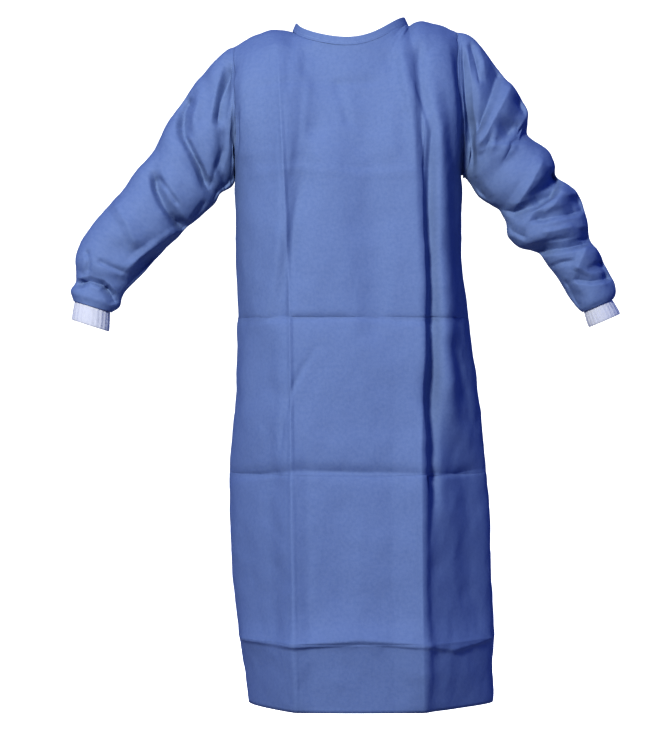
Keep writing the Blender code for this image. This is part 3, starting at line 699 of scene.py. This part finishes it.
skins = [numbered_skin(number, node) for number, node in enumerate(PANELS)]
for piece in skins:
    piece.select_set(True)
bpy.context.view_layer.objects.active = skins[0]
bpy.ops.object.join()
gown = skins[0]
gown.select_set(False)
weld = bmesh.new()
weld.from_mesh(gown.data)
loose = len(weld.verts)
bmesh.ops.remove_doubles(weld, verts=weld.verts, dist=SEAM_REACH)
print("points sewn together:", loose - len(weld.verts))
weld.to_mesh(gown.data)
weld.free()
refine(gown, CLOTH_LEVELS)
print("faces of the sewn cloth:", len(gown.data.polygons))

# %% [markdown]
# Creases of the front
# Two long packing creases run from the neck to the hem. Three level ones cross them, with
# two faint ones above, and soft folds fall from the neck. The deep step beside the left
# crease is where that side was turned under in the packet.
# A path is a list of places across and up.

# %% Creases of the front
# Columns: path, left flank, right flank, depth, sharp
FRONT_FOLDS = {
    "right packing crease": (
        [(-0.126, -0.036), (-0.112, -0.296), (-0.103, -0.535), (-0.100, -0.783), (-0.095, -1.066),
         (-0.091, -1.191)], 0.006, 0.006, 0.0034, True),
    "right skirt ridge": (
        [(-0.104, -0.700), (-0.100, -0.783), (-0.095, -1.066), (-0.091, -1.191)],
        0.030, 0.080, 0.0090, False),
    "left packing crease": (
        [(0.080, -0.036), (0.102, -0.102), (0.128, -0.176), (0.119, -0.253), (0.126, -0.484),
         (0.119, -0.741), (0.122, -1.066), (0.124, -1.182)], 0.014, 0.050, 0.0090, True),
    "left skirt ridge": (
        [(0.121, -0.700), (0.119, -0.780), (0.122, -1.066), (0.124, -1.190)],
        0.110, 0.050, 0.0140, True),
    "step beside the left crease": (
        [(0.102, -0.090), (0.139, -0.193), (0.133, -0.313), (0.139, -0.535), (0.134, -0.741),
         (0.137, -0.90)], 0.020, 0.010, -0.0085, False),
    "left side ridge": (
        [(0.140, -0.120), (0.158, -0.260), (0.166, -0.480), (0.174, -0.720)],
        0.024, 0.034, 0.0140, False),
    "upper level crease": (
        [(-0.195, -0.522), (-0.086, -0.516), (0.016, -0.515), (0.119, -0.522), (0.200, -0.518)],
        0.012, 0.007, -0.0030, True),
    "middle level crease": (
        [(-0.225, -0.791), (-0.095, -0.775), (0.016, -0.778), (0.119, -0.778), (0.179, -0.782),
         (0.250, -0.775)], 0.018, 0.008, -0.0064, True),
    "lower level crease": (
        [(-0.225, -1.067), (-0.093, -1.067), (0.016, -1.059), (0.119, -1.066), (0.174, -1.079),
         (0.260, -1.066)], 0.030, 0.008, 0.0090, True),
    "turn above the hem": (
        [(-0.240, -1.069), (-0.093, -1.069), (0.016, -1.061), (0.119, -1.068), (0.174, -1.080),
         (0.270, -1.068)], 0.050, 0.120, 0.0070, True),
    "faint crease on the chest": (
        [(-0.180, -0.118), (-0.086, -0.111), (-0.001, -0.114), (0.076, -0.107)],
        0.014, 0.010, -0.0014, False),
    "faint crease under the arms": (
        [(-0.184, -0.272), (-0.086, -0.261), (0.016, -0.272), (0.153, -0.265)],
        0.014, 0.010, 0.0018, False),
    "curved line on the skirt": (
        [(-0.054, -0.561), (-0.081, -0.600), (-0.102, -0.643), (-0.114, -0.698), (-0.118, -0.749)],
        0.007, 0.009, -0.0036, True),
    "middle neck fold": (
        [(-0.026, -0.099), (-0.014, -0.142), (-0.001, -0.193)], 0.014, 0.014, -0.0030, False),
    "right neck fold": (
        [(-0.078, -0.060), (-0.090, -0.202), (-0.103, -0.279), (-0.120, -0.364)],
        0.014, 0.020, -0.0036, False),
    "right chest fold": (
        [(-0.069, -0.142), (-0.086, -0.253), (-0.103, -0.381), (-0.120, -0.501)],
        0.030, 0.020, -0.0052, False),
    "left chest fold": (
        [(0.030, -0.200), (0.046, -0.300), (0.052, -0.440), (0.046, -0.560)],
        0.030, 0.040, -0.0050, False),
    "left neck fold": (
        [(0.072, -0.050), (0.093, -0.176), (0.100, -0.253)], 0.012, 0.026, -0.0056, False),
    "left hip fold": (
        [(0.170, -0.535), (0.193, -0.629), (0.213, -0.723)], 0.016, 0.030, -0.0075, False),
    "left skirt fold": (
        [(0.200, -0.800), (0.205, -0.930), (0.210, -1.050)], 0.030, 0.030, -0.0060, False),
    "middle skirt fold": (
        [(-0.010, -0.800), (-0.020, -0.920), (-0.012, -1.040)], 0.040, 0.050, -0.0036, False),
}
FRONT_CREASES = [Crease(*fold, FRONT) for fold in FRONT_FOLDS.values()]
print("creases on the front:", len(FRONT_CREASES))

# %% [markdown]
# Creases of the back
# The packet folded all the layers together, so the back has the same straight lines, and
# soft folds of its own that fall from the shoulders.

# %% Creases of the back
BACK_FOLDS = {
    "right packing crease": (
        [(-0.120, -0.10), (-0.118, -0.45), (-0.104, -0.80), (-0.100, -1.185)],
        0.010, 0.008, 0.0024, True),
    "left packing crease": (
        [(0.126, -0.10), (0.120, -0.45), (0.124, -0.80), (0.120, -1.185)],
        0.008, 0.012, 0.0028, True),
    "upper level crease": (
        [(-0.20, -0.520), (-0.07, -0.514), (0.08, -0.520), (0.21, -0.516)],
        0.010, 0.007, -0.0024, True),
    "middle level crease": (
        [(-0.21, -0.784), (-0.06, -0.777), (0.07, -0.781), (0.23, -0.775)],
        0.014, 0.008, -0.0036, True),
    "lower level crease": (
        [(-0.20, -1.064), (-0.05, -1.060), (0.09, -1.067), (0.24, -1.064)],
        0.022, 0.009, 0.0040, True),
    "right shoulder fold": (
        [(-0.060, -0.11), (-0.085, -0.22), (-0.100, -0.40)], 0.020, 0.020, -0.0034, False),
    "left shoulder fold": (
        [(0.150, -0.12), (0.155, -0.27), (0.160, -0.42)], 0.018, 0.018, -0.0032, False),
    "right hip fold": (
        [(-0.165, -0.56), (-0.150, -0.66), (-0.155, -0.75)], 0.018, 0.018, -0.0036, False),
    "left skirt fold": (
        [(0.170, -0.82), (0.180, -0.92), (0.175, -1.03)], 0.022, 0.022, -0.0040, False),
}
BACK_CREASES = [Crease(*fold, BACK) for fold in BACK_FOLDS.values()]
print("creases on the back:", len(BACK_CREASES))

# %% [markdown]
# Creases of the sleeves
# The right sleeve hangs in a few long folds and has a pinched wrist.
# The left one is pushed up, so rings of cloth pile up on it.
# These folds run at all angles, so their paths are given in the picture's own
# points, which lie 1.75 mm apart on the gown. A function turns them into metres at the
# sleeve's place, because what is further from the camera looks smaller.
# The folds on the back aren't seen. They carry the front ones on round the arm.

# %% From picture points to metres
POINT_PITCH = 0.00175
ORIGIN_POINT = (350, 25)
SLEEVE_PLACE = {FRONT: -0.05, BACK: 0.03}


def from_picture(path, left, right, depth, sharp, side):
    """Makes a crease from a path and two flank widths in points and a depth in millimetres."""
    spread = (CAMERA_DISTANCE + SLEEVE_PLACE[side]) / CAMERA_DISTANCE
    placed = []
    for across, down in path:
        x = (across - ORIGIN_POINT[0]) * POINT_PITCH
        z = (ORIGIN_POINT[1] - down) * POINT_PITCH
        spread_x = VIEW_CENTRE[0] + (x - VIEW_CENTRE[0]) * spread
        spread_z = VIEW_CENTRE[1] + (z - VIEW_CENTRE[1]) * spread
        placed.append((spread_x, spread_z))
    return Crease(placed, left * POINT_PITCH, right * POINT_PITCH, depth / 1000, sharp, side)


print("a point of the picture on the gown:", POINT_PITCH)

# %% Creases of the right sleeve
# Columns: path, left and right flank in points, depth in millimetres, sharp, side
RIGHT_SLEEVE_FOLDS = {
    "upper arm hollow": ([(188, 94), (182, 110), (181, 124), (184, 140)], 12, 7, -21, True, FRONT),
    "upper arm line": ([(182, 134), (190, 148), (200, 168), (208, 190)], 5, 6, -18, True, FRONT),
    "elbow fold": ([(153, 170), (157, 190), (164, 205), (174, 219), (186, 231)], 9, 6, -19, True, FRONT),
    "elbow line": ([(157, 176), (168, 190), (180, 207)], 4, 4, -6, True, FRONT),
    "elbow tuck": ([(187, 227), (196, 214), (206, 199)], 5, 4, -9, True, FRONT),
    "shoulder fold": ([(232, 62), (226, 85), (221, 104), (218, 128)], 8, 8, -18, True, FRONT),
    "armpit": ([(238, 108), (237, 150), (233, 176), (222, 190), (211, 206)], 3, 15, -14, True, FRONT),
    "armpit line": ([(224, 146), (217, 168), (209, 188)], 6, 5, -7, True, FRONT),
    "forearm underside": ([(186, 236), (162, 255), (138, 276), (129, 288)], 5, 13, -20, True, FRONT),
    "forearm ridge": ([(182, 228), (160, 243), (140, 257), (127, 270)], 12, 7, 9, True, FRONT),
    "wrist pinch": ([(75, 284), (90, 281), (103, 285), (113, 294)], 5, 6, -14, True, FRONT),
    "wrist tuck": ([(106, 286), (113, 296), (116, 304)], 5, 8, -9, True, FRONT),
    "forearm outer line": ([(87, 250), (90, 262), (88, 274)], 5, 4, -6, True, FRONT),
    "forearm cross line": ([(98, 261), (113, 268), (128, 274)], 5, 4, -6, True, FRONT),
    "forearm facet": ([(112, 200), (128, 224), (138, 250)], 14, 9, 9, True, FRONT),
    "shoulder dip": ([(199, 60), (206, 90), (200, 130)], 12, 9, -5, False, FRONT),
    "back of the upper arm": ([(200, 95), (192, 125), (206, 165)], 9, 6, -10, True, BACK),
    "back of the elbow": ([(160, 172), (167, 202), (186, 226)], 9, 6, -10, True, BACK),
    "back of the wrist": ([(80, 282), (94, 286), (114, 288)], 5, 6, -9, True, BACK),
    "back of the shoulder": ([(222, 70), (214, 110), (208, 150)], 9, 6, -8, False, BACK),
}
print("folds on the right sleeve:", len(RIGHT_SLEEVE_FOLDS))

# %% Creases of the left sleeve
LEFT_SLEEVE_FOLDS = {
    "armhole fold": ([(463, 44), (466, 80), (469, 120), (472, 150), (472, 172)], 5, 14, -19, True, FRONT),
    "shoulder fold": ([(471, 40), (476, 60), (480, 84)], 8, 7, -14, True, FRONT),
    "upper arm ridge": ([(514, 78), (500, 107), (486, 134), (473, 151)], 20, 9, 21, True, FRONT),
    "upper arm facet": ([(528, 92), (525, 110), (517, 126), (500, 138)], 9, 19, -18, False, FRONT),
    "upper arm trough": ([(508, 58), (497, 82), (485, 112), (474, 136)], 6, 20, -21, True, FRONT),
    "first ring": ([(474, 153), (495, 147), (520, 146), (534, 147)], 5, 15, 6, True, FRONT),
    "elbow facet": ([(557, 166), (558, 182), (549, 194), (531, 205)], 7, 18, -19, True, FRONT),
    "elbow ridge": ([(543, 158), (529, 186), (512, 212)], 16, 10, 11, True, FRONT),
    "lower elbow ridge": ([(562, 186), (554, 204), (540, 217)], 20, 8, 8, True, FRONT),
    "upper arm underside": ([(470, 176), (480, 190), (493, 203)], 8, 3, -9, True, FRONT),
    "second ring": ([(498, 208), (514, 213), (535, 205), (560, 191)], 8, 5, -11, True, FRONT),
    "third ring": ([(528, 222), (555, 217), (584, 211)], 10, 5, -12, True, FRONT),
    "third ring outer end": ([(580, 192), (585, 212)], 5, 22, -14, True, FRONT),
    "third ring inner end": ([(505, 222), (512, 232), (526, 239)], 8, 4, -9, True, FRONT),
    "between the rings": ([(540, 234), (556, 231), (575, 226)], 5, 6, 4, True, FRONT),
    "fourth ring": ([(534, 252), (560, 249), (592, 242)], 7, 6, -14, True, FRONT),
    "fourth ring outer end": ([(590, 226), (592, 240)], 5, 18, -11, True, FRONT),
    "forearm ridge": ([(586, 245), (580, 258), (574, 272)], 24, 6, 10, True, FRONT),
    "forearm facet": ([(604, 256), (610, 268), (613, 280)], 5, 24, -16, True, FRONT),
    "forearm line": ([(548, 268), (560, 263), (574, 261)], 4, 5, -5, True, FRONT),
    "wrist pinch": ([(572, 280), (590, 282), (612, 279)], 8, 4, -10, True, FRONT),
    "wrist underside": ([(564, 280), (573, 296), (580, 310)], 9, 3, -9, True, FRONT),
    "back of the upper arm": ([(520, 82), (505, 112), (484, 150)], 10, 8, -11, True, BACK),
    "back of the elbow": ([(560, 150), (545, 180), (520, 200)], 9, 7, -12, True, BACK),
    "back of the second ring": ([(580, 190), (552, 212), (522, 224)], 8, 6, -11, True, BACK),
    "back of the fourth ring": ([(598, 230), (575, 244), (546, 250)], 8, 6, -12, True, BACK),
    "back of the shoulder": ([(478, 60), (474, 100), (470, 150)], 8, 6, -9, False, BACK),
}
SLEEVE_FOLDS = [*RIGHT_SLEEVE_FOLDS.values(), *LEFT_SLEEVE_FOLDS.values()]
SLEEVE_CREASES = [from_picture(*fold) for fold in SLEEVE_FOLDS]
print("folds on the sleeves:", len(SLEEVE_CREASES))

# %% [markdown]
# Pressing the cloth
# Stitching draws a seam in a little, so a shallow groove is sunk along each one. Every
# point keeps its distance to the nearest seam, for the stitch row.
# Then all the creases go into the sewn cloth at once, so a fold can cross a seam, and
# a weak random rumple of two sizes keeps the flat parts from looking ironed.

# %% Pressing
SEAM_DEPTH = 0.0009
SEAM_WIDTH = 0.006


def store_seam(made, distances):
    store = made.data.attributes.new("seam", "FLOAT", "POINT")
    store.data.foreach_set("value", distances)


def draw_in_seams(made):
    """Sinks a groove along each seam and stores every point's distance to the nearest one."""
    bm = bmesh.new()
    bm.from_mesh(made.data)
    mark = bm.faces.layers.int["panel"]
    sewn = [vert for vert in bm.verts if len({face[mark] for face in vert.link_faces}) > 1]
    tree = point_tree(sewn)
    distances = [tree.find(vert.co)[2] for vert in bm.verts]
    for vert, distance, normal in zip(bm.verts, distances, [v.normal.copy() for v in bm.verts]):
        vert.co -= normal * SEAM_DEPTH * max(1 - distance / SEAM_WIDTH, 0)
    bm.to_mesh(made.data)
    bm.free()
    store_seam(made, distances)
    return len(sewn)


print("points on seams:", draw_in_seams(gown))
CREASES = FRONT_CREASES + BACK_CREASES + SLEEVE_CREASES
deepest = press(gown, CREASES)
print("creases:", len(CREASES), "deepest:", round(deepest, 4))

# %% [markdown]
# Cutting the panels apart
# Each panel leaves the sewn cloth as its own piece and gets its thickness and its finish.
# The right back panel laps over the left one, and its free edge is laid down on it. The raw
# neckline is kept for the binding, whose stitches follow it.

# %% Cutting apart
LAP_WIDTH = 0.030
LAP_REST = 0.0010
LAP_SIDE = 0.05
LAP_LOW = -1.18
LAP_HIGH = -0.03
NECK_REACH = 0.13
NECK_LOW = -0.15
CUTS = {
    "front": ((0.66, 1.19), 0.680, "hung"),
    "back_left": ((0.40, 1.19), 0.412, "hung"),
    "back_right": ((0.43, 1.19), 0.440, "hung"),
    "sleeve_right": ((0.46, 0.60), 0.185, "gathered"),
    "sleeve_left": ((0.46, 0.60), 0.185, "gathered"),
}


def cut_out(number, node):
    bm = bmesh.new()
    bm.from_mesh(gown.data)
    mark = bm.faces.layers.int["panel"]
    others = [face for face in bm.faces if face[mark] != number]
    bmesh.ops.delete(bm, geom=others, context="FACES")
    for face in bm.faces:
        face.smooth = True
    return new_object(node + "_cloth", bm)


def lay_lap_down(made, under):
    """Lets the free edge at the back rest on the panel under it, as thin cloth does."""
    below = bmesh.new()
    below.from_mesh(under.data)
    ground = BVHTree.FromBMesh(below)
    bm = bmesh.new()
    bm.from_mesh(made.data)
    edge = [v for v in bm.verts if v.is_boundary and v.co.x > LAP_SIDE]
    tree = point_tree([v for v in edge if LAP_LOW < v.co.z < LAP_HIGH])
    gaps = []
    for vert in bm.verts:
        near = 1 - tree.find(vert.co)[2] / LAP_WIDTH
        if near > 0:
            place, normal, _, gap = ground.find_nearest(vert.co)
            gaps.append(gap)
            vert.co = vert.co.lerp(place + normal * LAP_REST, eased(near))
    bm.to_mesh(made.data)
    bm.free()
    below.free()
    return max(gaps)


def raw_neckline(made):
    """Gives back a tree of the points along the open edge at the neck."""
    bm = bmesh.new()
    bm.from_mesh(made.data)
    edge = [v for v in bm.verts if v.is_boundary and abs(v.co.x) < NECK_REACH]
    tree = point_tree([v for v in edge if v.co.z > NECK_LOW])
    bm.free()
    return tree


neckline = raw_neckline(gown)
cloths = {node: cut_out(number, node) for number, node in enumerate(PANELS)}
widest = lay_lap_down(cloths["back_right"], cloths["back_left"])
print("widest gap under the lap:", round(widest, 4))
for node, piece in cloths.items():
    give_thickness(piece)
    piece.data.materials.append(blue_cloth)
    stands_for(piece, node, "gown_cloth")
    flat, area, held = CUTS[node]
    print(node, "faces:", len(piece.data.polygons))
bpy.data.objects.remove(gown)

# %% [markdown]
# Cuffs
# Each sleeve ends in a short tube of white rib knit. The ribs stand up as soft flutes,
# and fine loops cross them. The plain cuff has its ribs already, so its own shape is only
# rounded, and the loops are left to the finish, which paints shade into the hollows
# between the loops.

# %% Knit finish
# The darker knit colour is painted shade for the hollows between the loops.
KNIT_HOLLOW_SHADE = (0.40, 0.42, 0.50, 1)
KNIT_LIGHT = (0.62, 0.64, 0.70, 1)
LOOP_COLUMNS = 110
LOOP_ROWS = 190
ROW_SHARE = 0.35
LOOP_DEPTH = 0.0008


def knit_finish():
    finish = bpy.data.materials.new("white_knit")
    finish.use_nodes = True
    tree = finish.node_tree
    surface = tree.nodes["Principled BSDF"]
    flat = add(tree, "ShaderNodeUVMap", uv_map="flat")
    loops = add(tree, "ShaderNodeTexWave", wave_type="BANDS", bands_direction="X")
    loops.inputs["Scale"].default_value = LOOP_COLUMNS
    loops.inputs["Distortion"].default_value = 1.2
    loops.inputs["Detail"].default_value = 2
    rows = add(tree, "ShaderNodeTexWave", wave_type="BANDS", bands_direction="Y")
    rows.inputs["Scale"].default_value = LOOP_ROWS
    rows.inputs["Distortion"].default_value = 1.0
    for wave in (loops, rows):
        tree.links.new(flat.outputs[0], wave.inputs["Vector"])
    both = add(tree, "ShaderNodeMath", operation="MULTIPLY_ADD")
    both.inputs[1].default_value = ROW_SHARE
    tree.links.new(rows.outputs["Fac"], both.inputs[0])
    tree.links.new(loops.outputs["Fac"], both.inputs[2])
    # Painted shade: the colour darkens where the loop height sinks, in the hollows between loops.
    colour = add(tree, "ShaderNodeMix", data_type="RGBA")
    colour.inputs["A"].default_value = KNIT_HOLLOW_SHADE
    colour.inputs["B"].default_value = KNIT_LIGHT
    tree.links.new(both.outputs[0], colour.inputs["Factor"])
    tree.links.new(colour.outputs["Result"], surface.inputs["Base Color"])
    bump = add(tree, "ShaderNodeBump")
    bump.inputs["Strength"].default_value = 0.6
    bump.inputs["Distance"].default_value = LOOP_DEPTH
    tree.links.new(both.outputs[0], bump.inputs["Height"])
    tree.links.new(bump.outputs[0], surface.inputs["Normal"])
    surface.inputs["Roughness"].default_value = 0.85
    surface.inputs["Sheen Weight"].default_value = 0.15
    return finish


white_knit = knit_finish()
print("finish:", white_knit.name)

# %% Cuffs
# Columns: node, the two ends of its middle line, flat width and length
CUFFS = (
    ("cuff_right", (-0.45, -0.03, -0.48), (-0.455, -0.03, -0.53), (0.20, 0.040)),
    ("cuff_left", (0.43, -0.03, -0.47), (0.45, -0.03, -0.52), (0.20, 0.032)),
)
CUFF_BEND = 40
CUFF_SKEW = 40
TRIM_LEVELS = 2

for node, top, end, flat in CUFFS:
    cuff_bm = merged_copy(node)
    join_into_quads(cuff_bm, CUFF_BEND, CUFF_SKEW)
    cuff = new_object(node + "_knit", cuff_bm)
    flatten_tube(cuff, top, end)
    refine(cuff, TRIM_LEVELS)
    cuff.data.materials.append(white_knit)
    stands_for(cuff, node, "knit")
    print(node, "faces:", len(cuff.data.polygons))

# %% [markdown]
# Neck binding
# A folded strip covers the raw neckline, held by one row of stitches.
# Such a trim keeps the plain piece's whole shape. Its sharp edges are bevelled and then
# rounded, because folded cloth has no sharp edge. It is laid flat from its sides.

# %% Soft trims
TRIM_BEND = 20
TRIM_SKEW = 50
SHARP_BEND = math.radians(50)


def soft_trim(node, edge):
    bm = merged_copy(node)
    join_into_quads(bm, TRIM_BEND, TRIM_SKEW)
    closed = [e for e in bm.edges if len(e.link_faces) == 2]
    sharp = [e for e in closed if e.calc_face_angle() > SHARP_BEND]
    bmesh.ops.bevel(
        bm,
        geom=sharp,
        offset=edge,
        offset_type="OFFSET",
        affect="EDGES",
        segments=2,
        profile=0.5,
        material=-1,
    )
    made = new_object(node + "_trim", bm)
    made.data.uv_layers.new(name="flat")
    bpy.context.view_layer.objects.active = made
    made.select_set(True)
    bpy.ops.object.mode_set(mode="EDIT")
    bpy.ops.mesh.select_all(action="SELECT")
    bpy.ops.uv.cube_project(cube_size=1.0, correct_aspect=False, scale_to_bounds=False)
    bpy.ops.object.mode_set(mode="OBJECT")
    made.select_set(False)
    refine(made, TRIM_LEVELS)
    return made


print("an edge is sharp above, in degrees:", round(math.degrees(SHARP_BEND)))

# %% Neck binding
BINDING_EDGE = 0.0005

binding = soft_trim("neck_binding", BINDING_EDGE)
store_seam(binding, [neckline.find(vert.co)[2] for vert in binding.data.vertices])
binding.data.materials.append(blue_cloth)
stands_for(binding, "neck_binding", "gown_cloth")
print("binding faces:", len(binding.data.polygons))

# %% [markdown]
# Ties, knot and tab
# The closures at the back are narrow strips of the same cloth, and a pale touch tape tab.
# Each is a trim like the binding, so the same function makes it.

# %% Strips
TAPE_THIN = (0.62, 0.66, 0.78, 1)
TAPE_THICK = (0.50, 0.55, 0.70, 1)
STRIP_EDGE = 0.0003

tape = web_cloth("touch_tape", TAPE_THIN, TAPE_THICK, roughness=0.8, emboss=0.9, sheen=0.1)
# Columns: node, flat width and length, finish, slot
STRIPS = (
    ("waist_tie_left", (0.024, 0.075), blue_cloth, "gown_cloth"),
    ("waist_tie_right", (0.024, 0.085), blue_cloth, "gown_cloth"),
    ("tie_tail_left", (0.020, 0.27), blue_cloth, "gown_cloth"),
    ("tie_tail_right", (0.020, 0.30), blue_cloth, "gown_cloth"),
    ("neck_tab", (0.020, 0.090), tape, "touch_tape"),
)
for node, flat, finish, slot in STRIPS:
    strip = soft_trim(node, STRIP_EDGE)
    strip.data.materials.append(finish)
    stands_for(strip, node, slot)
    print(node, "faces:", len(strip.data.polygons))

# %% Knot
KNOT_EDGE = 0.0004

knot = soft_trim("waist_knot", KNOT_EDGE)
knot.data.materials.append(blue_cloth)
stands_for(knot, "waist_knot", "gown_cloth")
print("knot faces:", len(knot.data.polygons))
